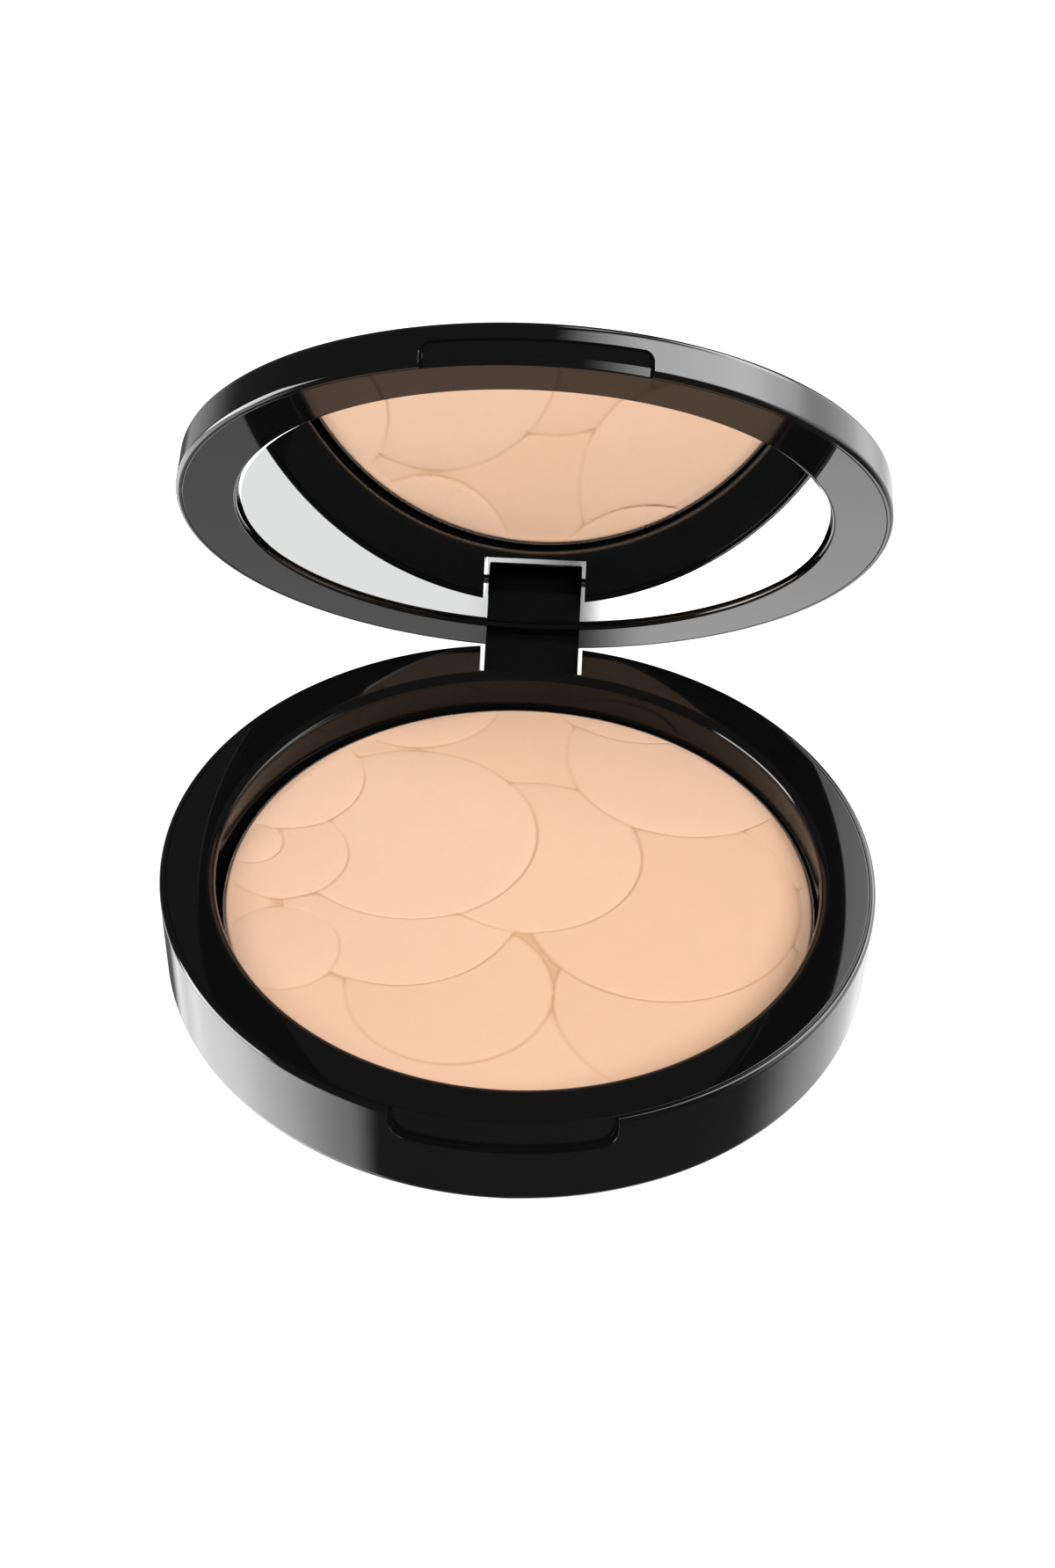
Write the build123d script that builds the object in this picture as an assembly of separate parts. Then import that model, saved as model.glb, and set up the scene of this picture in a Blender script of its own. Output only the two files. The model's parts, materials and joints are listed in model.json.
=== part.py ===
from build123d import *
import os

# Round powder compact with a mirror lid, in millimetres.
# Origin: centre of the flat underside.  +Z up, the thumb notch faces -Y, the hinge is at +Y.
# The lid pieces are built closed, over the base, then turned open about the hinge axis.

# Driving dimensions
OUTER_RADIUS = 36.0
BASE_HEIGHT = 10.6
LID_HEIGHT = 4.4
LID_DOME = 0.5
PARTING_GAP = 0.25
PAN_RADIUS = 30.0
POWDER_RECESS = 4.2
OPEN_ANGLE = 60.0

# Walls and fits
SHELL_WALL = 1.6
SHELL_FLOOR = 1.2
BASE_TAPER = 0.5
LIP = 0.7
RING_THICKNESS = 1.0
INNER_WALL = 0.9
SEAT_CLEARANCE = 0.05
EDGE_ROUND = 0.5
FOOT_ROUND = 1.0
RING_CHAMFER = 0.1

SHELL_INNER = OUTER_RADIUS - SHELL_WALL
RING_OUTER = OUTER_RADIUS - LIP
RING_TOP = BASE_HEIGHT
RING_UNDERSIDE = RING_TOP - RING_THICKNESS

# Well, pan and powder
WELL_BOTTOM_RADIUS = PAN_RADIUS + 0.25
WELL_TOP_RADIUS = PAN_RADIUS + 0.4
WELL_ROUND = 0.95
WELL_FLOOR_BOTTOM = SHELL_FLOOR + 0.3
WELL_FLOOR_TOP = WELL_FLOOR_BOTTOM + INNER_WALL
ADHESIVE_RADIUS = 12.5
ADHESIVE_THICKNESS = 0.2
PAN_BOTTOM = WELL_FLOOR_TOP + ADHESIVE_THICKNESS
PAN_WALL = 0.2
PAN_FLOOR = 0.3
POWDER_TOP = RING_TOP - POWDER_RECESS
POWDER_PROUD = 0.2
PAN_TOP = POWDER_TOP - POWDER_PROUD
POWDER_RADIUS = PAN_RADIUS - PAN_WALL - 0.02
POWDER_ROUND = 0.3

# Hinge
PIN_Y = 34.2
PIN_Z = 4.5
PIN_RADIUS = 0.5
PIN_LENGTH = 15.0
PIN_RUNNING_CLEARANCE = 0.05
BARREL_RADIUS = 1.9
LUG_HALF_WIDTH = 5.1
SLOT_HALF_WIDTH = 5.5
SLOT_FRONT = PIN_Y - BARREL_RADIUS - 1.3
WEB_FRONT = SLOT_FRONT + 0.7
BLOCK_HALF_WIDTH = 8.8
BLOCK_FRONT = PAN_RADIUS + 1.9
BLOCK_BACK = SHELL_INNER + 0.2

# Thumb notches at the front of both shells
NOTCH_HALF_WIDTH = 11.0
NOTCH_DEPTH = 0.8
BASE_NOTCH_HEIGHT = 3.5
LID_NOTCH_HEIGHT = 2.5
BASE_NOTCH_CORNER = 1.8
LID_NOTCH_CORNER = 1.0

# Lid, closed
LID_FACE = BASE_HEIGHT + PARTING_GAP
LID_EDGE_TOP = LID_FACE + LID_HEIGHT
LID_TAPER = 0.3
LID_PLATE = 1.1
LID_ROUND = 0.9
MIRROR_RADIUS = 29.75
MIRROR_THICKNESS = 1.3
MIRROR_RECESS = 0.5
MIRROR_BEVEL_WIDTH = 0.3
MIRROR_BEVEL_DEPTH = 0.1
MIRROR_SEAT_RADIUS = MIRROR_RADIUS + 0.15
TAPE_THICKNESS = 0.3
TAPE_RADIUS = 27.0
FRAME_BACK = 0.8
MIRROR_FRONT = LID_FACE + MIRROR_RECESS
MIRROR_BACK = MIRROR_FRONT + MIRROR_THICKNESS
FRAME_BACK_FRONT = MIRROR_BACK + TAPE_THICKNESS

# Closing magnets, hidden behind the two flat rings beside the thumb notch
MAGNET_LENGTH = 6.0
MAGNET_WIDTH = 2.0
BASE_MAGNET_HEIGHT = 3.0
LID_MAGNET_HEIGHT = 1.8
MAGNET_RADIUS = 33.1
MAGNET_ANGLES = (-125.0, -55.0)


def disc(radius, bottom, top):
    """A plain disc on the Z axis between two heights."""
    return Pos(0, 0, (bottom + top) / 2) * Cylinder(radius, top - bottom)


def block(x_half, y_low, y_high, z_low, z_high):
    """A box symmetric about X = 0."""
    size = Box(2 * x_half, y_high - y_low, z_high - z_low)
    return Pos(0, (y_low + y_high) / 2, (z_low + z_high) / 2) * size


def turned(outline):
    """Revolves a closed outline of (radius, height) about Z."""
    return revolve(Plane.XZ * make_face(outline), Axis.Z)


def polygon(*points):
    return Polyline(*points, close=True)


def rod_x(radius, length, y, z):
    """A round bar along X at the given Y and Z."""
    return Pos(0, y, z) * Rot(0, 90, 0) * Cylinder(radius, length)


def circle_edges(solid, radius, height):
    """The circular edges of one radius at one height."""
    found = []
    for edge in solid.edges().filter_by(GeomType.CIRCLE):
        same_radius = abs(edge.radius - radius) < 0.01
        same_height = abs(edge.center(CenterOf.BOUNDING_BOX).Z - height) < 0.01
        if same_radius and same_height:
            found.append(edge)
    return ShapeList(found)


def notch_cutter(low, high, rounded_height, corner_radius):
    """The thumb notch: a shallow wide pocket whose two corners at rounded_height are rounded."""
    pocket = block(NOTCH_HALF_WIDTH, -OUTER_RADIUS - 2, -OUTER_RADIUS + 4, low, high)
    corners = []
    for edge in pocket.edges().filter_by(Axis.Y):
        if abs(edge.center().Z - rounded_height) < 0.01:
            corners.append(edge)
    pocket = fillet(ShapeList(corners), corner_radius)
    return pocket - disc(OUTER_RADIUS - NOTCH_DEPTH, low - 1, high + 1)


def hinge_slot():
    """The cut-out that the lid's lug swings in, open at the back, the top and the bottom."""
    return block(SLOT_HALF_WIDTH, SLOT_FRONT, OUTER_RADIUS + 5, -1, BASE_HEIGHT + 1)


def magnets(low, high):
    """Two small bars on one radius, each square to its own radius."""
    bars = []
    for angle in MAGNET_ANGLES:
        bar = Box(MAGNET_WIDTH, MAGNET_LENGTH, high - low)
        bars.append(Rot(0, 0, angle) * Pos(MAGNET_RADIUS, 0, (low + high) / 2) * bar)
    return Compound(children=bars)


def base_shell():
    """Outer base: a wall that tapers a little to a flat floor, knuckles, slot and thumb notch."""
    foot_radius = OUTER_RADIUS - BASE_TAPER
    body = turned(polygon((0, 0), (foot_radius, 0), (OUTER_RADIUS, BASE_HEIGHT), (0, BASE_HEIGHT)))
    body = fillet(circle_edges(body, foot_radius, 0), FOOT_ROUND)
    body = fillet(circle_edges(body, OUTER_RADIUS, BASE_HEIGHT), EDGE_ROUND)
    body -= disc(SHELL_INNER, SHELL_FLOOR, BASE_HEIGHT + 1)
    body -= disc(RING_OUTER + SEAT_CLEARANCE, RING_UNDERSIDE, BASE_HEIGHT + 1)
    body += block(BLOCK_HALF_WIDTH, BLOCK_FRONT, BLOCK_BACK, 0, RING_UNDERSIDE)
    body -= hinge_slot()
    body -= rod_x(PIN_RADIUS, PIN_LENGTH, PIN_Y, PIN_Z)
    notch_low = BASE_HEIGHT - BASE_NOTCH_HEIGHT
    body -= notch_cutter(notch_low, BASE_HEIGHT + 1, notch_low, BASE_NOTCH_CORNER)
    foot_groove = disc(30.6, -1, 0.3) - disc(30.0, -1, 0.3)
    return body - foot_groove


def base_frame():
    """Inner base: the flat top ring and the well that holds the pan, in one moulding."""
    outline = polygon(
        (0, WELL_FLOOR_BOTTOM),
        (WELL_BOTTOM_RADIUS + INNER_WALL, WELL_FLOOR_BOTTOM),
        (WELL_TOP_RADIUS + INNER_WALL, RING_UNDERSIDE),
        (RING_OUTER, RING_UNDERSIDE),
        (RING_OUTER, RING_TOP),
        (WELL_TOP_RADIUS, RING_TOP),
        (WELL_BOTTOM_RADIUS, WELL_FLOOR_TOP),
        (0, WELL_FLOOR_TOP),
    )
    body = turned(outline)
    body = fillet(circle_edges(body, WELL_TOP_RADIUS, RING_TOP), WELL_ROUND)
    body = chamfer(circle_edges(body, RING_OUTER, RING_TOP), RING_CHAMFER)
    return body - hinge_slot()


def powder_pan():
    """Thin pressed-metal tray with a rounded bottom edge."""
    body = disc(PAN_RADIUS, PAN_BOTTOM, PAN_TOP)
    body = fillet(circle_edges(body, PAN_RADIUS, PAN_BOTTOM), 0.6)
    inside = disc(PAN_RADIUS - PAN_WALL, PAN_BOTTOM + PAN_FLOOR, PAN_TOP + 1)
    inside = fillet(circle_edges(inside, PAN_RADIUS - PAN_WALL, PAN_BOTTOM + PAN_FLOOR), 0.35)
    return body - inside


def pressed_powder():
    """The powder cake: it fills the pan and stands a little proud, with a softened edge."""
    body = disc(POWDER_RADIUS, PAN_BOTTOM + PAN_FLOOR, POWDER_TOP)
    body = fillet(circle_edges(body, POWDER_RADIUS, PAN_BOTTOM + PAN_FLOOR), 0.4)
    return fillet(circle_edges(body, POWDER_RADIUS, POWDER_TOP), POWDER_ROUND)


def lid_shell():
    """Outer lid: a low side wall, a slightly domed top and a thumb notch at the front."""
    edge_radius = OUTER_RADIUS - LID_TAPER
    crown = LID_EDGE_TOP + LID_DOME
    dome = ThreePointArc(
        (0, crown),
        (edge_radius / 2, LID_EDGE_TOP + 0.75 * LID_DOME),
        (edge_radius, LID_EDGE_TOP),
    )
    rest = Polyline(
        (edge_radius, LID_EDGE_TOP),
        (OUTER_RADIUS, LID_FACE),
        (0, LID_FACE),
        (0, crown),
    )
    body = turned(dome + rest)
    body = fillet(circle_edges(body, edge_radius, LID_EDGE_TOP), LID_ROUND)
    body = fillet(circle_edges(body, OUTER_RADIUS, LID_FACE), EDGE_ROUND)
    body -= disc(SHELL_INNER, LID_FACE - 1, LID_EDGE_TOP - LID_PLATE)
    body -= disc(RING_OUTER + SEAT_CLEARANCE, LID_FACE - 1, LID_FACE + RING_THICKNESS)
    notch_high = LID_FACE + LID_NOTCH_HEIGHT
    return body - notch_cutter(LID_FACE - 1, notch_high, notch_high, LID_NOTCH_CORNER)


def hinge_lug():
    """The lug under the lid's rear: a web that runs down into a barrel round the pin."""
    back = PIN_Y + BARREL_RADIUS
    web_top_back = RING_OUTER - 0.5
    top = LID_FACE + RING_THICKNESS / 2
    side = polygon(
        (PIN_Y - BARREL_RADIUS, PIN_Z),
        (back, PIN_Z),
        (back, PIN_Z + 1.5),
        (web_top_back, LID_FACE),
        (web_top_back, top),
        (WEB_FRONT, top),
        (WEB_FRONT, PIN_Z + 1.0),
    )
    web = extrude(Plane.YZ * make_face(side), LUG_HALF_WIDTH, both=True)
    body = web + rod_x(BARREL_RADIUS, 2 * LUG_HALF_WIDTH, PIN_Y, PIN_Z)
    bore = rod_x(PIN_RADIUS + PIN_RUNNING_CLEARANCE, 3 * LUG_HALF_WIDTH, PIN_Y, PIN_Z)
    return body - bore


def mirror_frame():
    """Inner lid: the flat ring round the mirror, its seat and back, and the hinge lug."""
    seat_outer = MIRROR_SEAT_RADIUS + INNER_WALL
    back_top = FRAME_BACK_FRONT + FRAME_BACK
    outline = polygon(
        (MIRROR_SEAT_RADIUS, LID_FACE),
        (RING_OUTER, LID_FACE),
        (RING_OUTER, LID_FACE + RING_THICKNESS),
        (seat_outer, LID_FACE + RING_THICKNESS),
        (seat_outer, back_top),
        (0, back_top),
        (0, FRAME_BACK_FRONT),
        (MIRROR_SEAT_RADIUS, FRAME_BACK_FRONT),
    )
    body = turned(outline)
    body = chamfer(circle_edges(body, RING_OUTER, LID_FACE), RING_CHAMFER)
    body = chamfer(circle_edges(body, MIRROR_SEAT_RADIUS, LID_FACE), RING_CHAMFER)
    return body + hinge_lug()


def mirror():
    """Round glass mirror with a narrow bevel on its front edge."""
    outline = polygon(
        (0, MIRROR_FRONT),
        (MIRROR_RADIUS - MIRROR_BEVEL_WIDTH, MIRROR_FRONT),
        (MIRROR_RADIUS, MIRROR_FRONT + MIRROR_BEVEL_DEPTH),
        (MIRROR_RADIUS, MIRROR_BACK),
        (0, MIRROR_BACK),
    )
    return turned(outline)


def opened(piece):
    """Turns a closed lid piece about the hinge axis to the open rest position."""
    return Pos(0, PIN_Y, PIN_Z) * Rot(-OPEN_ANGLE, 0, 0) * Pos(0, -PIN_Y, -PIN_Z) * piece


lid_magnet_bottom = LID_FACE + RING_THICKNESS

pieces = {
    "base_shell": base_shell(),
    "base_frame": base_frame(),
    "base_magnets": magnets(RING_UNDERSIDE - BASE_MAGNET_HEIGHT, RING_UNDERSIDE),
    "pan_adhesive": disc(ADHESIVE_RADIUS, WELL_FLOOR_TOP, PAN_BOTTOM),
    "powder_pan": powder_pan(),
    "pressed_powder": pressed_powder(),
    "hinge_pin": rod_x(PIN_RADIUS, PIN_LENGTH, PIN_Y, PIN_Z),
    "lid_shell": opened(lid_shell()),
    "mirror_frame": opened(mirror_frame()),
    "lid_magnets": opened(magnets(lid_magnet_bottom, lid_magnet_bottom + LID_MAGNET_HEIGHT)),
    "mirror_tape": opened(disc(TAPE_RADIUS, MIRROR_BACK, FRAME_BACK_FRONT)),
    "mirror": opened(mirror()),
}

os.makedirs("parts", exist_ok=True)
for name, piece in pieces.items():
    export_step(piece, "parts/" + name + ".step")
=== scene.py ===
import json
import math

import bmesh
import bpy
import numpy as np
from mathutils import Matrix, Vector


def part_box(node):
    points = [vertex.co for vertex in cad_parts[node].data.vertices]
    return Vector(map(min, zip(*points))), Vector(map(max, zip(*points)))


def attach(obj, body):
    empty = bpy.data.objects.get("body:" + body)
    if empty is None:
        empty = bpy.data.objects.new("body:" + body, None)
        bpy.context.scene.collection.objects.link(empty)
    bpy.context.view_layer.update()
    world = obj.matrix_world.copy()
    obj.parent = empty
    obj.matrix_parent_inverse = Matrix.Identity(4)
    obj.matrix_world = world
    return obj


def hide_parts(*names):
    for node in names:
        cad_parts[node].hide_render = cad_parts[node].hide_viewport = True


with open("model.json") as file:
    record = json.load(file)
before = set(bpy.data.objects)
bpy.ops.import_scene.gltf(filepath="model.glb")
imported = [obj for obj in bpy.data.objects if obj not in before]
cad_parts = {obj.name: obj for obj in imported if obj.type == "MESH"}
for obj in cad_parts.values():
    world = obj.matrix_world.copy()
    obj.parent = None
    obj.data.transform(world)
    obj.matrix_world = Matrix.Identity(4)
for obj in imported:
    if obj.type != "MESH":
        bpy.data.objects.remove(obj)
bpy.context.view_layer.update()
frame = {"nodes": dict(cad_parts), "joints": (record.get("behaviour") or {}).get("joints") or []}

# Every size below is in millimetres, in the CAD's own frame; pieces are scaled to metres when they are made.
MM = 0.001


def node_top(node):
    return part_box(node)[1].z / MM


def node_bottom(node):
    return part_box(node)[0].z / MM


def node_half_width(node):
    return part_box(node)[1].x / MM


def node_radius(node):
    """A round node's radius as it was designed: its box is a trace smaller, because its mesh has facets."""
    return round(node_half_width(node), 1)


# The hinge: the lid's pieces are drawn closed and turned open about it.
HINGE = frame["joints"][0]
PIN_Y = HINGE["pos_m"][1] / MM
PIN_Z = HINGE["pos_m"][2] / MM
OPENING = math.radians(-HINGE["range_deg"][0])

# Sizes read from the frame
OUTER = node_radius("base_shell")
BASE_TOP = node_top("base_frame")
RING_OUTER = node_radius("base_frame")
PAN_OUTER = node_radius("powder_pan")
PAN_LOW = node_bottom("powder_pan")
PAN_TOP = node_top("powder_pan")
POWDER_OUTER = node_half_width("pressed_powder")
POWDER_TOP = node_top("pressed_powder")
WELL_FLOOR = node_bottom("pan_adhesive")
MIRROR_OUTER = node_half_width("mirror")
PIN_RADIUS = (node_top("hinge_pin") - node_bottom("hinge_pin")) / 2

# Walls, seams and small radii of the base
SHELL_WALL = 1.6
SHELL_INNER = OUTER - SHELL_WALL
SHELL_CORNER = 0.3
FLOOR_THICKNESS = 1.2
RING_THICKNESS = 1.0
RING_SEAM = 0.05
RING_EDGE = 0.1
LIP_INNER = RING_OUTER + RING_SEAM
LIP_ROUND = 0.5
BASE_TAPER = 0.5
FOOT_ROUND = 1.0
FOOT_GROOVE = 30.0
FOOT_GROOVE_WIDTH = 0.6
FOOT_GROOVE_DEPTH = 0.3
FOOT_GROOVE_ROUND = 0.1
WELL_TOP = PAN_OUTER + 0.4
WELL_BOTTOM = PAN_OUTER + 0.25
WELL_WALL = 0.9
WELL_ROUND = 0.95
WELL_CORNER = 0.2
WELL_FOOT_ROUND = 0.4

# The pan, pushed a little to one side within the well
PAN_WALL = 0.2
PAN_FLOOR = 0.3
PAN_FOOT_ROUND = 0.6
PAN_CORNER = 0.35
PAN_LIP_ROUND = 0.08
PAN_SHIFT = 0.2

# Thumb notches
NOTCH_HALF = 11.0
NOTCH_DEPTH = 0.8
NOTCH_BACK = OUTER - NOTCH_DEPTH
NOTCH_EDGE = 0.12
NOTCH_KEPT = 0.02
BASE_NOTCH_LOW = BASE_TOP - 3.5
BASE_NOTCH_CORNER = 1.8
LID_NOTCH_HEIGHT = 2.5
LID_NOTCH_CORNER = 1.0
LID_NOTCH_LEAN = 0.15

# Hinge parts: the lid's lug, the slot that it turns in, and the block at the back of the base that holds the
# knuckles on both sides of the slot
LUG_HALF = 5.1
LUG_ROUND = 0.18
SLOT_HALF = 5.5
BARREL = 1.9
BORE_CLEARANCE = 0.05
SLOT_FRONT = PIN_Y - BARREL - 1.3
WEB_FRONT = SLOT_FRONT + 0.7
WEB_BACK = RING_OUTER - 0.5
WEB_DROP = 0.4
WEB_ABOVE_PIN = 1.0
BLOCK_HALF = 8.8
BLOCK_FRONT = PAN_OUTER + 1.9
BLOCK_BACK = SHELL_INNER + 0.2

# Lid, closed
LID_GAP = 0.25
LID_HEIGHT = 4.4
LID_FACE = BASE_TOP + LID_GAP
LID_TOP = LID_FACE + LID_HEIGHT
LID_TAPER = 0.3
LID_DOME = 0.5
LID_EDGE_ROUND = 0.9
LID_PLATE = 1.1
MIRROR_RECESS = 0.5
MIRROR_THICKNESS = 1.3
MIRROR_FRONT = LID_FACE + MIRROR_RECESS
MIRROR_BACK = MIRROR_FRONT + MIRROR_THICKNESS
MIRROR_BEVEL_WIDTH = 0.3
MIRROR_BEVEL_DEPTH = 0.1
SEAT_RADIUS = MIRROR_OUTER + 0.15
SEAT_ROUND = 0.3
FRAME_PLATE = 0.8
FRAME_BACK_LOW = MIRROR_BACK + 0.3
FRAME_BACK_HIGH = FRAME_BACK_LOW + FRAME_PLATE

# How finely shapes are drawn: steps round a lathe, how far a supporting point stands from a corner, rows on a
# wall across a notch's rounded edge, steps along the notch at its ends and between them, and points across
# the powder
LATHE_STEPS = 480
SUPPORT = 0.07
WALL_STEP = 0.03
NOTCH_FINE_STEP = 0.04
NOTCH_COARSE_STEP = 0.25
POWDER_NET = 430


# ---------------------------------------------------------------- outlines and meshes

def rounded(corners, steps=8):
    """A polyline of (radius, height, round) corners with each round corner drawn as an arc.

    Long straight stretches get a point close to each end, which keeps flat faces flat when shaded smooth.
    """
    points = []
    for i, (r, z, radius) in enumerate(corners):
        here = Vector((r, z))
        if radius <= 0:
            points.append(here)
            continue
        before = Vector(corners[i - 1][:2]) - here
        after = Vector(corners[i + 1][:2]) - here
        half = before.angle(after) / 2
        reach = radius / math.tan(half)
        start = here + before.normalized() * reach
        end = here + after.normalized() * reach
        centre = here + (before.normalized() + after.normalized()).normalized() * radius / math.sin(half)
        turn = (start - centre).angle_signed(end - centre)
        for k in range(steps + 1):
            spoke = (start - centre).copy()
            spoke.rotate(Matrix.Rotation(-turn * k / steps, 2))
            points.append(centre + spoke)
    return with_supports(points)


def with_supports(points):
    """The same line with a point close to each end of every long stretch."""
    result = []
    for here, there in zip(points, points[1:]):
        result.append(here)
        run = there - here
        if run.length > 5 * SUPPORT:
            result.append(here + run.normalized() * SUPPORT)
            result.append(there - run.normalized() * SUPPORT)
    result.append(points[-1])
    return [(p.x, p.y) for p in result]


def mesh_object(name, points, faces):
    """A mesh from points in millimetres, with doubled points merged and its faces turned outwards."""
    mesh = bpy.data.meshes.new(name)
    mesh.from_pydata([tuple(p) for p in np.asarray(points) * MM], [], faces)
    cleaned = bmesh.new()
    cleaned.from_mesh(mesh)
    bmesh.ops.remove_doubles(cleaned, verts=cleaned.verts, dist=1e-7)
    bmesh.ops.recalc_face_normals(cleaned, faces=cleaned.faces)
    cleaned.to_mesh(mesh)
    cleaned.free()
    obj = bpy.data.objects.new(name, mesh)
    bpy.context.scene.collection.objects.link(obj)
    return obj


def lathe(name, outline, angles=None, warp=None):
    """Turns an outline about Z, from axis to axis; warp moves the points before they are joined."""
    if angles is None:
        angles = np.linspace(0, 2 * math.pi, LATHE_STEPS, endpoint=False)
    outline = np.array(outline, float)
    r = np.repeat(outline[:, 0:1], len(angles), axis=1)
    z = np.repeat(outline[:, 1:2], len(angles), axis=1)
    a = np.repeat(np.array(angles)[None, :], len(outline), axis=0)
    if warp is not None:
        r, z = warp(r, a, z)
    points = np.stack([r * np.cos(a), r * np.sin(a), z], axis=-1).reshape(-1, 3)
    rows, columns = r.shape
    faces = []
    for i in range(rows - 1):
        low = i * columns
        high = (i + 1) * columns
        for j in range(columns):
            k = (j + 1) % columns
            faces.append((low + j, low + k, high + k, high + j))
    return mesh_object(name, points, faces)


def smooth(obj, sharp_degrees=32):
    """Smooth shading with edges sharper than the angle kept crisp."""
    obj.data.shade_smooth()
    obj.data.set_sharp_from_angle(angle=math.radians(sharp_degrees))
    return obj


def boolean(obj, other, operation):
    """Joins or cuts obj with another closed mesh, which is used up."""
    modifier = obj.modifiers.new("cut", "BOOLEAN")
    modifier.operation = operation
    modifier.solver = "EXACT"
    modifier.object = other
    apply_modifiers(obj)
    bpy.data.objects.remove(other)
    return obj


def apply_modifiers(obj):
    """Makes the result of the object's modifiers its mesh."""
    depsgraph = bpy.context.evaluated_depsgraph_get()
    mesh = bpy.data.meshes.new_from_object(obj.evaluated_get(depsgraph))
    obj.modifiers.clear()
    obj.data = mesh
    return obj


def cuboid(name, x_half, y_low, y_high, z_low, z_high):
    """A box, used only to join to or cut from another piece."""
    corners = []
    for x in (-x_half, x_half):
        for y in (y_low, y_high):
            for z in (z_low, z_high):
                corners.append((x, y, z))
    faces = [(0, 1, 3, 2), (4, 6, 7, 5), (0, 4, 5, 1), (2, 3, 7, 6), (0, 2, 6, 4), (1, 5, 7, 3)]
    return mesh_object(name, corners, faces)


def round_edges(obj, width):
    """Rounds every edge where two faces meet at more than 30 degrees."""
    modifier = obj.modifiers.new("round", "BEVEL")
    modifier.width = width * MM
    modifier.segments = 4
    modifier.limit_method = "ANGLE"
    modifier.angle_limit = math.radians(30)
    return apply_modifiers(obj)


def prism_x(name, outline, x_half):
    """A prism along X from an outline of (y, z) points."""
    count = len(outline)
    points = [(-x_half, y, z) for y, z in outline] + [(x_half, y, z) for y, z in outline]
    faces = [tuple(range(count)), tuple(range(2 * count - 1, count - 1, -1))]
    for i in range(count):
        k = (i + 1) % count
        faces.append((i, k, count + k, count + i))
    return mesh_object(name, points, faces)


def circle_points(centre_y, centre_z, radius, start, end, steps):
    """Points on an arc in the YZ plane, from one angle to another in degrees."""
    points = []
    for k in range(steps + 1):
        a = math.radians(start + (end - start) * k / steps)
        points.append((centre_y + radius * math.cos(a), centre_z + radius * math.sin(a)))
    return points


def open_lid(obj):
    """Turns a closed lid piece to the rest opening, in its vertices."""
    pin = Vector(HINGE["pos_m"])
    turn = Matrix.Rotation(OPENING, 4, Vector(HINGE["axis"]))
    obj.data.transform(Matrix.Translation(pin) @ turn @ Matrix.Translation(-pin))
    return obj


def finish_piece(obj, body, material, node):
    """Gives a piece its material and its body, and hides the CAD node that it stands for."""
    obj.data.materials.clear()
    obj.data.materials.append(material)
    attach(obj, body)
    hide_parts(node)
    return obj


# ---------------------------------------------------------------- thumb notches

def notch_angles():
    """Angles round a shell: even, and close together where the notch's ends are."""
    front = -math.pi / 2
    margin = 0.1
    reach = BASE_NOTCH_CORNER + margin
    fine = np.arange(NOTCH_HALF - reach, NOTCH_HALF + margin, NOTCH_FINE_STEP)
    coarse = np.arange(0, NOTCH_HALF - reach, NOTCH_COARSE_STEP)
    near = np.concatenate([coarse, fine])
    near = np.concatenate([-near[::-1], near[1:]]) / OUTER
    edge = near[-1]
    rest = np.linspace(edge, 2 * math.pi - edge, LATHE_STEPS - 40)[1:-1]
    return np.concatenate([near, rest]) + front


def smoothstep(low, high, value):
    """0 at low and 1 at high, with a soft start and end."""
    t = np.clip((value - low) / (high - low), 0, 1)
    return t * t * (3 - 2 * t)


def notch_warp(floor, lip_end, upward, corner, lean):
    """Presses a shallow pocket with crisp edges into a shell's wall.

    floor is the height of the pocket's closed edge, lip_end the height where the lip meets the ring seat.
    The pocket runs from floor past lip_end to the parting edge. upward is 1 on the base and -1 on the lid.
    lean is how much shallower the pocket gets, per millimetre, towards its closed edge. A small share of
    the wall's own shape, NOTCH_KEPT, is kept in the pocket, so no two points of it fall together.
    """
    def warp(r, a, z):
        # how far each point is from the middle of the front, along the wall
        along = np.abs(OUTER * (np.mod(a + math.pi / 2 + math.pi, 2 * math.pi) - math.pi))
        qx = along - (NOTCH_HALF - corner)
        qz = upward * (floor - z) + corner
        outside = np.hypot(np.maximum(qx, 0), np.maximum(qz, 0))
        depth = corner - outside - np.minimum(np.maximum(qx, qz), 0)
        share = smoothstep(0, NOTCH_EDGE, depth)
        share = np.where(r > LIP_INNER - 0.01, share, 0)
        from_lip = np.maximum(upward * (lip_end - z), 0)
        pressed = NOTCH_BACK + lean * from_lip + (r - OUTER) * NOTCH_KEPT
        past = upward * (z - lip_end) > 0
        flattened = np.where(past, lip_end + (z - lip_end) * NOTCH_KEPT, z)
        return r + share * (pressed - r), z + share * (flattened - z)
    return warp


# ---------------------------------------------------------------- base pieces

def wall_radius(z):
    """The base's outer wall tapers in a little towards the foot."""
    return OUTER - BASE_TAPER * (BASE_TOP - z) / BASE_TOP


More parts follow.
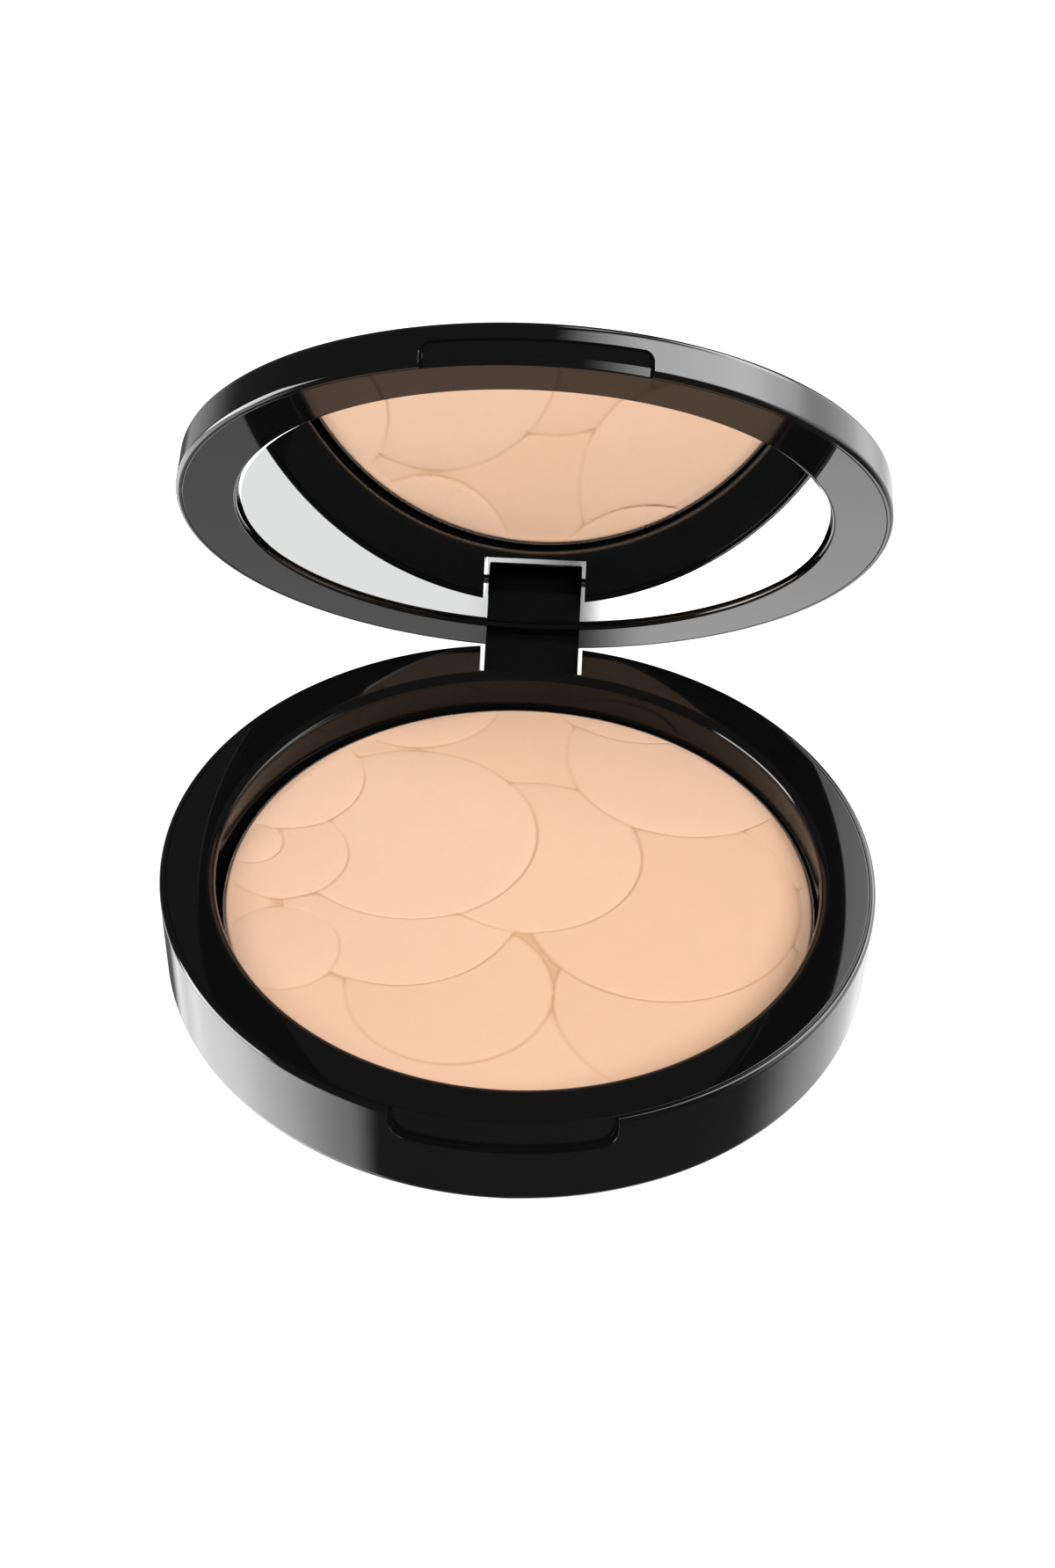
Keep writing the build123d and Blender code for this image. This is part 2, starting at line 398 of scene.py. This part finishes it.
def base_outline():
    """Out along the foot, up the wall, in over the lip and down the inside.

    The wall's rows are close together where the notch's closed edge crosses them.
    """
    groove_outer = FOOT_GROOVE + FOOT_GROOVE_WIDTH
    foot = [
        (0, 0, 0),
        (FOOT_GROOVE, 0, 0),
        (FOOT_GROOVE, FOOT_GROOVE_DEPTH, FOOT_GROOVE_ROUND),
        (groove_outer, FOOT_GROOVE_DEPTH, FOOT_GROOVE_ROUND),
        (groove_outer, 0, 0),
        (wall_radius(0), 0, FOOT_ROUND),
        (wall_radius(2), 2, 0),
    ]
    notch_rows = (BASE_NOTCH_LOW - 0.06, BASE_NOTCH_LOW + BASE_NOTCH_CORNER + 0.1)
    heights = [3.0, 4.0, 5.0, 6.0, 6.8]
    heights += list(np.arange(*notch_rows, WALL_STEP))
    heights += [9.2, 9.5]
    wall = [(wall_radius(z), z, 0) for z in heights]
    top = [
        (OUTER, BASE_TOP, LIP_ROUND),
        (LIP_INNER, BASE_TOP, 0),
        (LIP_INNER, BASE_TOP - RING_THICKNESS, 0),
        (SHELL_INNER, BASE_TOP - RING_THICKNESS, 0),
        (SHELL_INNER, FLOOR_THICKNESS, SHELL_CORNER),
        (0, FLOOR_THICKNESS, 0),
    ]
    return rounded(foot + wall + top)


def slot_cutter():
    """The slot at the back, through the full height, that the lid's lug turns in."""
    return cuboid("slot", SLOT_HALF, SLOT_FRONT, OUTER + 5, -1, BASE_TOP + 1)


def make_base_shell(material):
    warp = notch_warp(BASE_NOTCH_LOW, BASE_TOP - RING_THICKNESS, 1, BASE_NOTCH_CORNER, 0)
    shell = lathe("base_outer", base_outline(), angles=notch_angles(), warp=warp)
    inset = 0.02
    block_top = BASE_TOP - RING_THICKNESS - inset
    block = cuboid("block", BLOCK_HALF, BLOCK_FRONT, BLOCK_BACK, inset, block_top)
    boolean(shell, block, "UNION")
    boolean(shell, slot_cutter(), "DIFFERENCE")
    return finish_piece(smooth(shell), "base", material, "base_shell")


def make_base_ring(material):
    low = WELL_FLOOR - WELL_WALL
    outline = rounded([
        (0, low, 0),
        (WELL_BOTTOM + WELL_WALL, low, WELL_FOOT_ROUND),
        (WELL_TOP + WELL_WALL, BASE_TOP - RING_THICKNESS, 0),
        (RING_OUTER, BASE_TOP - RING_THICKNESS, 0),
        (RING_OUTER, BASE_TOP, RING_EDGE),
        (WELL_TOP, BASE_TOP, WELL_ROUND),
        (WELL_BOTTOM, WELL_FLOOR, WELL_CORNER),
        (0, WELL_FLOOR, 0),
    ])
    ring = lathe("base_ring", outline)
    boolean(ring, slot_cutter(), "DIFFERENCE")
    return finish_piece(smooth(ring), "base", material, "base_frame")


def make_pan(material):
    outline = rounded([
        (0, PAN_LOW, 0),
        (PAN_OUTER, PAN_LOW, PAN_FOOT_ROUND),
        (PAN_OUTER, PAN_TOP, PAN_LIP_ROUND),
        (PAN_OUTER - PAN_WALL, PAN_TOP, PAN_LIP_ROUND),
        (PAN_OUTER - PAN_WALL, PAN_LOW + PAN_FLOOR, PAN_CORNER),
        (0, PAN_LOW + PAN_FLOOR, 0),
    ])
    pan = lathe("pan_tray", outline)
    pan.data.transform(Matrix.Translation((PAN_SHIFT * MM, 0, 0)))
    return finish_piece(smooth(pan), "base", material, "powder_pan")


# ---------------------------------------------------------------- pressed powder

# Embossed round scallops, lowest first: centre and radius as shares of the powder's radius, a tone from 0,
# the palest, to 1, the deepest, the strength of the groove round it and of the painted shade along that
# groove, and the direction in degrees where that groove and its painted shade are strongest. Each lies over
# those before it.
SCALLOPS = [
    (0.58, -0.46, 0.45, 0.80, 0.8, 160),
    (-0.215, -0.45, 0.345, 0.70, 1.0, -60),
    (0.93, 0.50, 0.38, 0.75, 0.3, -90),
    (0.49, 0.00, 0.47, 0.80, 0.95, -90),
    (-0.40, -0.05, 0.40, 0.50, 0.5, -90),
    (-0.79, -0.29, 0.20, 0.45, 0.45, -90),
    (0.03, 0.22, 0.385, 0.50, 0.7, 10),
    (0.57, 0.78, 0.43, 0.40, 0.6, -90),
    (0.42, 1.25, 0.41, 0.45, 0.4, -90),
    (-0.39, 0.31, 0.44, 0.30, 0.65, 0),
    (-0.41, 1.08, 0.31, 0.40, 0.5, -90),
    (-0.815, 0.17, 0.22, 0.40, 0.5, -90),
    (-0.84, 0.57, 0.27, 0.30, 0.4, -60),
    (-0.93, 0.22, 0.105, 0.40, 0.25, -45),
]

# The relief, in millimetres: the ground under the scallops, each scallop's dome and the fall at its edge, the
# step from one to the next, the groove along that step, which also gets painted shade, and how far in it
# hides older grooves, and the hollows where scallops nearly meet, which get deeper grooves and darker painted
# shade
EMBOSS_GROUND = -0.10
EMBOSS_GROUND_TONE = 0.6
EMBOSS_DOME = 0.16
EMBOSS_EDGE_FALL = 0.10
EMBOSS_EDGE_WIDTH = 0.9
EMBOSS_STEP = (-0.06, 0.12)
EMBOSS_CREASE = 0.08
EMBOSS_CREASE_WIDTH = 0.2
EMBOSS_CREASE_LEAST = 0.15
EMBOSS_HIDES = (0.1, 0.4)
CUSP_REACH = 1.1
CUSP_SHARE = (1.15, 1.75)

# The cake's edge: a narrow plain rim, rounded, standing clear of the pan
POWDER_CLEARANCE = 0.02
POWDER_ROUND = 0.30
POWDER_RIM = 1.1


def emboss(x, y):
    """Relief height, crease strength and tone at points on the powder, in millimetres and shares.

    The crease strength deepens the groove and also sets the painted shade along it. Where two scallops meet
    over a third, the narrow hollow between them gets more painted shade than a single groove.
    """
    height = np.full(x.shape, EMBOSS_GROUND)
    tone = np.full(x.shape, EMBOSS_GROUND_TONE)
    crease_and_shade = np.zeros(x.shape)
    hollow = np.zeros(x.shape)
    for centre_x, centre_y, radius, shade, edge, strongest in SCALLOPS:
        reach = radius * POWDER_OUTER
        across = x - centre_x * POWDER_OUTER
        along = y - centre_y * POWDER_OUTER
        distance = np.hypot(across, along)
        turned = np.arctan2(along, across) - math.radians(strongest)
        inside = reach - distance
        cap = EMBOSS_DOME * (1 - (distance / reach) ** 2)
        fall = EMBOSS_EDGE_FALL * np.exp(-np.maximum(inside, 0) / EMBOSS_EDGE_WIDTH)
        cover = smoothstep(*EMBOSS_STEP, inside)
        height = height + cover * (cap - fall - height)
        tone = tone + cover * (shade - tone)
        # The groove and the painted shade along it are strongest in the direction given by strongest.
        fading = EMBOSS_CREASE_LEAST + (1 - EMBOSS_CREASE_LEAST) * (0.5 + 0.5 * np.cos(turned))
        line = edge * fading * np.exp(-(inside / EMBOSS_CREASE_WIDTH) ** 2)
        kept = 1 - smoothstep(*EMBOSS_HIDES, inside)
        crease_and_shade = np.maximum(crease_and_shade * kept, line)
        near = np.exp(-np.maximum(-inside, 0) / CUSP_REACH)
        hollow = hollow * kept + np.where(inside < 0, near, 0)
    # Hollows where scallops nearly meet add painted shade, and groove depth, to the crease strength.
    crease_and_shade = crease_and_shade + smoothstep(*CUSP_SHARE, hollow)
    height = height - EMBOSS_CREASE * crease_and_shade
    return height, crease_and_shade, tone


def disc_net():
    """The x and y of a square net's points, drawn out to fill a disc of radius 1."""
    line = np.linspace(-1, 1, POWDER_NET)
    u, v = np.meshgrid(line, line)
    return u * np.sqrt(1 - v * v / 2), v * np.sqrt(1 - u * u / 2)


def net_faces():
    """The net's faces, each a square of four neighbouring points."""
    faces = []
    for i in range(POWDER_NET - 1):
        for j in range(POWDER_NET - 1):
            a = i * POWDER_NET + j
            faces.append((a, a + 1, a + POWDER_NET + 1, a + POWDER_NET))
    return faces


def net_border():
    """Indices of the net's outermost points, in order round the disc."""
    last = POWDER_NET - 1
    border = list(range(POWDER_NET))
    border += [i * POWDER_NET + last for i in range(1, POWDER_NET)]
    border += [last * POWDER_NET + j for j in range(last - 1, -1, -1)]
    border += [i * POWDER_NET for i in range(last - 1, 0, -1)]
    return border


def rim_drop(from_edge):
    """How far the rounded rim lies below the face, at each distance in from the edge."""
    inner = np.clip(POWDER_ROUND - from_edge, 0, POWDER_ROUND)
    return POWDER_ROUND - np.sqrt(np.maximum(POWDER_ROUND ** 2 - inner ** 2, 0))


def make_powder(material):
    """The powder cake: a fine net drawn out to a disc, embossed, with a skirt down to the pan's floor."""
    x, y = disc_net()
    radius = POWDER_OUTER - POWDER_CLEARANCE
    from_edge = (1 - np.hypot(x, y)) * radius
    height, crease_and_shade, tone = emboss(x * radius, y * radius)
    keep = smoothstep(0.0, POWDER_RIM, from_edge)
    z = POWDER_TOP + height * keep - rim_drop(from_edge)
    top = np.stack([x * radius, y * radius, z], axis=-1).reshape(-1, 3)
    border = net_border()
    low = top[border].copy()
    low[:, 2] = PAN_LOW + PAN_FLOOR + POWDER_CLEARANCE
    faces = net_faces()
    first = len(top)
    for k, edge in enumerate(border):
        n = (k + 1) % len(border)
        faces.append((edge, first + k, first + n, border[n]))
    faces.append(tuple(range(first, first + len(border))))
    mesh = bpy.data.meshes.new("powder_cake")
    mesh.from_pydata([tuple(p) for p in np.concatenate([top, low]) * MM], [], faces)
    # The crease attribute carries the painted shade along grooves and hollows to the powder's material.
    for name, values in (("crease_and_shade", crease_and_shade * keep), ("tone", tone)):
        attribute = mesh.attributes.new(name, "FLOAT", "POINT")
        flat = values.reshape(-1)
        attribute.data.foreach_set("value", np.concatenate([flat, flat[border]]).astype(np.float32))
    cake = bpy.data.objects.new("powder_cake", mesh)
    bpy.context.scene.collection.objects.link(cake)
    mesh.transform(Matrix.Translation((PAN_SHIFT * MM, 0, 0)))
    return finish_piece(smooth(cake, 60), "base", material, "pressed_powder")


# ---------------------------------------------------------------- lid pieces

def lid_outline():
    """Out under the plate, down the inside, round the lip, up the tapered wall and in over the domed top."""
    edge = OUTER - LID_TAPER
    notch_top = LID_FACE + LID_NOTCH_HEIGHT
    inside = [
        (0, LID_TOP - LID_PLATE, 0),
        (SHELL_INNER, LID_TOP - LID_PLATE, SHELL_CORNER),
        (SHELL_INNER, LID_FACE + RING_THICKNESS, 0),
        (LIP_INNER, LID_FACE + RING_THICKNESS, 0),
        (LIP_INNER, LID_FACE, 0),
        (OUTER, LID_FACE, LIP_ROUND),
    ]
    notch_rows = (notch_top - LID_NOTCH_CORNER - 0.1, notch_top + 0.1)
    heights = [LID_FACE + 0.75, LID_FACE + 1.1]
    heights += list(np.arange(*notch_rows, WALL_STEP))
    wall = [(OUTER - LID_TAPER * (z - LID_FACE) / LID_HEIGHT, z, 0) for z in heights]
    dome_radius = (edge ** 2 + LID_DOME ** 2) / (2 * LID_DOME)
    dome_centre = LID_TOP + LID_DOME - dome_radius
    dome = []
    for r in np.linspace(edge - 2, 0, 24):
        dome.append((r, dome_centre + math.sqrt(dome_radius ** 2 - r ** 2), 0))
    return rounded(inside + wall + [(edge, LID_TOP, LID_EDGE_ROUND)] + dome, steps=12)


def make_lid_shell(material):
    notch_top = LID_FACE + LID_NOTCH_HEIGHT
    warp = notch_warp(notch_top, LID_FACE + RING_THICKNESS, -1, LID_NOTCH_CORNER, LID_NOTCH_LEAN)
    shell = lathe("lid_outer", lid_outline(), angles=notch_angles(), warp=warp)
    return finish_piece(smooth(open_lid(shell)), "lid", material, "lid_shell")


def lug_solid():
    """The hinge lug: a barrel round the pin and a web up to the back of the lid's ring, bored for the pin."""
    top = LID_FACE + RING_THICKNESS / 2
    outline = circle_points(PIN_Y, PIN_Z, BARREL, -180, 20, 40)
    outline += [(WEB_BACK, LID_FACE - WEB_DROP), (WEB_BACK, top)]
    outline += [(WEB_FRONT, top), (WEB_FRONT, PIN_Z + WEB_ABOVE_PIN)]
    lug = round_edges(prism_x("lug", outline, LUG_HALF), LUG_ROUND)
    hole = circle_points(PIN_Y, PIN_Z, PIN_RADIUS + BORE_CLEARANCE, 0, 352.5, 47)
    return boolean(lug, prism_x("bore", hole, LUG_HALF + 1), "DIFFERENCE")


def make_lid_ring(material):
    outline = rounded([
        (0, FRAME_BACK_LOW, 0),
        (SEAT_RADIUS, FRAME_BACK_LOW, 0),
        (SEAT_RADIUS, LID_FACE, SEAT_ROUND),
        (RING_OUTER, LID_FACE, RING_EDGE),
        (RING_OUTER, LID_FACE + RING_THICKNESS, 0),
        (SEAT_RADIUS + WELL_WALL, LID_FACE + RING_THICKNESS, 0),
        (SEAT_RADIUS + WELL_WALL, FRAME_BACK_HIGH, 0),
        (0, FRAME_BACK_HIGH, 0),
    ])
    ring = lathe("lid_ring", outline)
    boolean(ring, lug_solid(), "UNION")
    return finish_piece(smooth(open_lid(ring)), "lid", material, "mirror_frame")


def make_mirror(material):
    outline = rounded([
        (0, MIRROR_FRONT, 0),
        (MIRROR_OUTER - MIRROR_BEVEL_WIDTH, MIRROR_FRONT, 0),
        (MIRROR_OUTER, MIRROR_FRONT + MIRROR_BEVEL_DEPTH, 0),
        (MIRROR_OUTER, MIRROR_BACK, 0),
        (0, MIRROR_BACK, 0),
    ])
    glass = lathe("mirror_glass", outline)
    return finish_piece(smooth(open_lid(glass), 5), "lid", material, "mirror")


# ---------------------------------------------------------------- materials

# Sockets of the Mix node when it mixes colours
MIX_FIRST = 6
MIX_SECOND = 7
MIX_RESULT = 2


def new_material(name):
    material = bpy.data.materials.new(name)
    material.use_nodes = True
    return material, material.node_tree


def link(tree, source, output, target, socket):
    tree.links.new(source.outputs[output], target.inputs[socket])


def noise_node(tree, scale, detail=4.0, roughness=0.5):
    """3D noise in object space; scale is in cells per metre."""
    coordinates = tree.nodes.new("ShaderNodeTexCoord")
    texture = tree.nodes.new("ShaderNodeTexNoise")
    texture.inputs["Scale"].default_value = scale
    texture.inputs["Detail"].default_value = detail
    texture.inputs["Roughness"].default_value = roughness
    link(tree, coordinates, "Object", texture, "Vector")
    return texture


def remap(tree, source, output, low, high, from_low=0.3, from_high=0.7):
    """Stretches a value's range; noise mostly lies between 0.3 and 0.7."""
    node = tree.nodes.new("ShaderNodeMapRange")
    node.inputs["From Min"].default_value = from_low
    node.inputs["From Max"].default_value = from_high
    node.inputs["To Min"].default_value = low
    node.inputs["To Max"].default_value = high
    link(tree, source, output, node, "Value")
    return node


def mix_colours(tree, factor, first, second):
    """The socket of a colour between two; factor is a socket, and each colour is a tuple or a socket."""
    node = tree.nodes.new("ShaderNodeMix")
    node.data_type = "RGBA"
    tree.links.new(factor, node.inputs[0])
    for index, colour in ((MIX_FIRST, first), (MIX_SECOND, second)):
        if isinstance(colour, tuple):
            node.inputs[index].default_value = (*colour, 1)
        else:
            tree.links.new(colour, node.inputs[index])
    return node.outputs[MIX_RESULT]


def bump(tree, source, output, strength, distance):
    node = tree.nodes.new("ShaderNodeBump")
    node.inputs["Strength"].default_value = strength
    node.inputs["Distance"].default_value = distance
    link(tree, source, output, node, "Height")
    return node


def gloss_black():
    """Polished black moulding: near-perfect gloss, faint polish marks and a trace of handling haze."""
    material, tree = new_material("gloss_black")
    shader = tree.nodes["Principled BSDF"]
    shader.inputs["IOR"].default_value = 1.3
    haze = noise_node(tree, 90, 3)
    colour = mix_colours(tree, haze.outputs["Fac"], (0.0022, 0.0022, 0.0024), (0.0040, 0.0040, 0.0042))
    tree.links.new(colour, shader.inputs["Base Color"])
    rough = remap(tree, haze, "Fac", 0.015, 0.05)
    link(tree, rough, "Result", shader, "Roughness")
    scratches = noise_node(tree, 5200, 2)
    marks = bump(tree, scratches, "Fac", 0.012, 0.00002)
    link(tree, marks, "Normal", shader, "Normal")
    return material


def silvered_glass():
    """Mirror: a bright metal film, with a trace of unevenness in its colour and polish."""
    material, tree = new_material("silvered_glass")
    shader = tree.nodes["Principled BSDF"]
    shader.inputs["Metallic"].default_value = 1.0
    film = noise_node(tree, 60, 4)
    colour = mix_colours(tree, film.outputs["Fac"], (0.93, 0.95, 0.94), (0.96, 0.97, 0.965))
    tree.links.new(colour, shader.inputs["Base Color"])
    rough = remap(tree, film, "Fac", 0.0, 0.006)
    link(tree, rough, "Result", shader, "Roughness")
    return material


def pressed_powder():
    """Matt pressed powder: paler and deeper zones, painted shade in the creases, fine grain and specks of
    pigment.
    """
    material, tree = new_material("pressed_powder_matt")
    shader = tree.nodes["Principled BSDF"]
    shader.inputs["Specular IOR Level"].default_value = 0.15
    tone = tree.nodes.new("ShaderNodeAttribute")
    tone.attribute_name = "tone"
    crease_and_shade = tree.nodes.new("ShaderNodeAttribute")
    crease_and_shade.attribute_name = "crease_and_shade"
    mottle = noise_node(tree, 700, 5, 0.65)
    share = remap(tree, mottle, "Fac", 0.0, 0.22, 0.45, 0.75)
    # Painted shade: the crease attribute mixes a deep brown into the grooves and hollows, where shade would
    # fall.
    depth = remap(tree, crease_and_shade, "Fac", 0.0, 0.9, 0.0, 2.0)
    toned = mix_colours(tree, tone.outputs["Fac"], (0.74, 0.50, 0.365), (0.695, 0.43, 0.275))
    mottled = mix_colours(tree, share.outputs["Result"], toned, (0.67, 0.42, 0.275))
    crease_shaded = mix_colours(tree, depth.outputs["Result"], mottled, (0.47, 0.25, 0.12))
    tree.links.new(crease_shaded, shader.inputs["Base Color"])
    grain = noise_node(tree, 9000, 3, 0.7)
    rough = remap(tree, grain, "Fac", 0.82, 0.98)
    link(tree, rough, "Result", shader, "Roughness")
    grained = bump(tree, grain, "Fac", 0.35, 0.00006)
    link(tree, grained, "Normal", shader, "Normal")
    return material


def metal(name, colour, low, high, scale, stretch):
    """Drawn or rolled metal: streaked roughness and a fine bump along one direction."""
    material, tree = new_material(name)
    shader = tree.nodes["Principled BSDF"]
    shader.inputs["Metallic"].default_value = 1.0
    coordinates = tree.nodes.new("ShaderNodeTexCoord")
    mapping = tree.nodes.new("ShaderNodeMapping")
    mapping.inputs["Scale"].default_value = stretch
    link(tree, coordinates, "Object", mapping, "Vector")
    streaks = tree.nodes.new("ShaderNodeTexNoise")
    streaks.inputs["Scale"].default_value = scale
    streaks.inputs["Detail"].default_value = 5
    link(tree, mapping, "Vector", streaks, "Vector")
    darker = tuple(0.85 * c for c in colour)
    tint = mix_colours(tree, streaks.outputs["Fac"], colour, darker)
    tree.links.new(tint, shader.inputs["Base Color"])
    rough = remap(tree, streaks, "Fac", low, high)
    link(tree, rough, "Result", shader, "Roughness")
    fine = bump(tree, streaks, "Fac", 0.1, 0.00002)
    link(tree, fine, "Normal", shader, "Normal")
    return material


def soft_layer(name, colour, darker, scale, roughness):
    """Foam tape or adhesive film: a fine cellular mottle."""
    material, tree = new_material(name)
    shader = tree.nodes["Principled BSDF"]
    shader.inputs["Roughness"].default_value = roughness
    cells = noise_node(tree, scale, 3, 0.6)
    tint = mix_colours(tree, cells.outputs["Fac"], colour, darker)
    tree.links.new(tint, shader.inputs["Base Color"])
    raised = bump(tree, cells, "Fac", 0.3, 0.00005)
    link(tree, raised, "Normal", shader, "Normal")
    return material


def paint_node(node, material):
    """Gives a CAD node that stays in sight its own material."""
    mesh = frame["nodes"][node].data
    mesh.materials.clear()
    mesh.materials.append(material)


# ---------------------------------------------------------------- camera, light and floor

def make_camera():
    """A long lens, a little above 40 degrees, aimed between the base and the lid."""
    azimuth = math.radians(0.9)
    elevation = math.radians(41.1)
    roll = math.radians(2.0)
    distance = 10 * OUTER * MM
    target = Vector((0.012 * OUTER, 0.356 * OUTER, BASE_TOP)) * MM
    back = Vector((
        math.sin(azimuth) * math.cos(elevation),
        -math.cos(azimuth) * math.cos(elevation),
        math.sin(elevation),
    ))
    data = bpy.data.cameras.new("camera")
    data.lens = 80.0
    data.sensor_width = 36.0
    data.clip_start = 0.01
    data.clip_end = 20
    camera = bpy.data.objects.new("camera", data)
    bpy.context.scene.collection.objects.link(camera)
    facing = (-back).to_track_quat("-Z", "Y").to_matrix().to_4x4()
    place = Matrix.Translation(target + back * distance)
    camera.matrix_world = place @ facing @ Matrix.Rotation(roll, 4, "Z")
    bpy.context.scene.camera = camera


def make_floor():
    """A large pale floor, a hair below the object. It glows, so that it meets the backdrop without a line."""
    size = 3.0
    mesh = bpy.data.meshes.new("floor")
    corners = [(-size, -size, 0), (size, -size, 0), (size, size, 0), (-size, size, 0)]
    mesh.from_pydata(corners, [], [(0, 1, 2, 3)])
    floor = bpy.data.objects.new("floor", mesh)
    floor.location.z = -0.00005
    bpy.context.scene.collection.objects.link(floor)
    material, tree = new_material("pale_floor")
    shader = tree.nodes["Principled BSDF"]
    shader.inputs["Base Color"].default_value = (0.9, 0.9, 0.9, 1)
    shader.inputs["Roughness"].default_value = 0.9
    shader.inputs["Specular IOR Level"].default_value = 0.0
    shader.inputs["Emission Color"].default_value = (1, 1, 1, 1)
    shader.inputs["Emission Strength"].default_value = 0.8
    mesh.materials.append(material)
    floor.visible_glossy = False


# Soft panels round the studio as gloss sees them: azimuth from and to, elevation from and to, softness of
# the edges, all in degrees, and radiance. Azimuth 0 is straight behind the object and 90 is to its right.
PANELS = [
    (-130, -46, -66, -30, 6, 3.4),
    (-46, -30, -66, -30, 6, 2.0),
    (-112, -66, -66, -30, 16, 2.4),
    (-80, -6, -90, -66, 8, 0.62),
    (4, 90, -90, -72, 5, 2.8),
    (12, 80, -66, -22, 16, 1.55),
    (-80, -30, -34, -10, 8, 0.8),
    (35, 110, -24, 14, 12, 3.6),
    (57, 92, 17, 74, 16, 20.0),
    (6, 22, 34, 52, 3, 6.5),
    (24, 60, 14, 34, 6, 14.0),
    (-110, -73, -26, 14, 3, 24.0),
]
DARK_STUDIO = 0.15
STUDIO_WHITE = 1.0
ROOM_LIGHT = 0.2


def math_node(tree, operation, *inputs):
    """One Math node; each input is a number or the output socket of another node."""
    node = tree.nodes.new("ShaderNodeMath")
    node.operation = operation
    for socket, value in zip(node.inputs, inputs):
        if isinstance(value, (int, float)):
            socket.default_value = value
        else:
            tree.links.new(value, socket)
    return node.outputs["Value"]


def window(tree, value, low, high, softness):
    """1 between two values, 0 outside them, with soft edges."""
    edges = []
    for centre, direction in ((low, 1), (high, -1)):
        edge = tree.nodes.new("ShaderNodeMapRange")
        edge.interpolation_type = "SMOOTHSTEP"
        edge.inputs["From Min"].default_value = centre - direction * softness
        edge.inputs["From Max"].default_value = centre + direction * softness
        tree.links.new(value, edge.inputs["Value"])
        edges.append(edge.outputs["Result"])
    return math_node(tree, "MULTIPLY", *edges)


def make_surroundings():
    """A dark studio with soft panels for reflections, an even pale backdrop and an even room light."""
    world = bpy.data.worlds.new("studio")
    bpy.context.scene.world = world
    world.use_nodes = True
    tree = world.node_tree
    coordinates = tree.nodes.new("ShaderNodeTexCoord")
    axes = tree.nodes.new("ShaderNodeSeparateXYZ")
    link(tree, coordinates, "Generated", axes, "Vector")
    x, y, z = axes.outputs
    azimuth = math_node(tree, "DEGREES", math_node(tree, "ARCTAN2", x, y))
    elevation = math_node(tree, "DEGREES", math_node(tree, "ARCSINE", z))
    panels = DARK_STUDIO
    for az_low, az_high, el_low, el_high, softness, radiance in PANELS:
        across = window(tree, azimuth, az_low, az_high, softness)
        up = window(tree, elevation, el_low, el_high, softness)
        shape = math_node(tree, "MULTIPLY", across, up)
        panels = math_node(tree, "ADD", panels, math_node(tree, "MULTIPLY", shape, radiance))
    ray = tree.nodes.new("ShaderNodeLightPath")
    glossy = math_node(tree, "MULTIPLY", panels, ray.outputs["Is Glossy Ray"])
    seen = math_node(tree, "MULTIPLY", STUDIO_WHITE, ray.outputs["Is Camera Ray"])
    room = math_node(tree, "MULTIPLY", ROOM_LIGHT, ray.outputs["Is Diffuse Ray"])
    total = math_node(tree, "ADD", glossy, math_node(tree, "ADD", seen, room))
    background = tree.nodes["Background"]
    tree.links.new(total, background.inputs["Color"])
    background.inputs["Strength"].default_value = 1.0


def area_light(name, location, size, energy):
    """A round soft light aimed at the object. Gloss does not see it, and has the panels instead."""
    data = bpy.data.lights.new(name, "AREA")
    data.shape = "DISK"
    data.size = size
    data.energy = energy
    light = bpy.data.objects.new(name, data)
    bpy.context.scene.collection.objects.link(light)
    light.location = location
    light.rotation_euler = (-Vector(location)).to_track_quat("-Z", "Y").to_euler()
    light.visible_glossy = False


# ---------------------------------------------------------------- assembly

bpy.context.scene.view_settings.view_transform = "Standard"
make_camera()
make_floor()
make_surroundings()
area_light("key", (0.50, -0.55, 0.82), 0.70, 11.8)
area_light("fill", (-0.50, -0.35, 0.90), 0.90, 6.6)

black = gloss_black()
make_base_shell(black)
make_base_ring(black)
make_pan(metal("pan_metal", (0.72, 0.72, 0.73), 0.25, 0.45, 900, (1, 1, 8)))
make_powder(pressed_powder())
make_lid_shell(black)
make_lid_ring(black)
make_mirror(silvered_glass())

nickel = metal("nickel_plate", (0.70, 0.69, 0.66), 0.15, 0.35, 1500, (1, 1, 1))
paint_node("hinge_pin", metal("pin_steel", (0.60, 0.60, 0.61), 0.2, 0.4, 1200, (1, 9, 9)))
paint_node("base_magnets", nickel)
paint_node("lid_magnets", nickel)
paint_node("mirror_tape", soft_layer("foam_tape", (0.85, 0.85, 0.83), (0.70, 0.70, 0.68), 2500, 0.8))
paint_node("pan_adhesive", soft_layer("adhesive_film", (0.78, 0.76, 0.70), (0.66, 0.63, 0.55), 1200, 0.4))
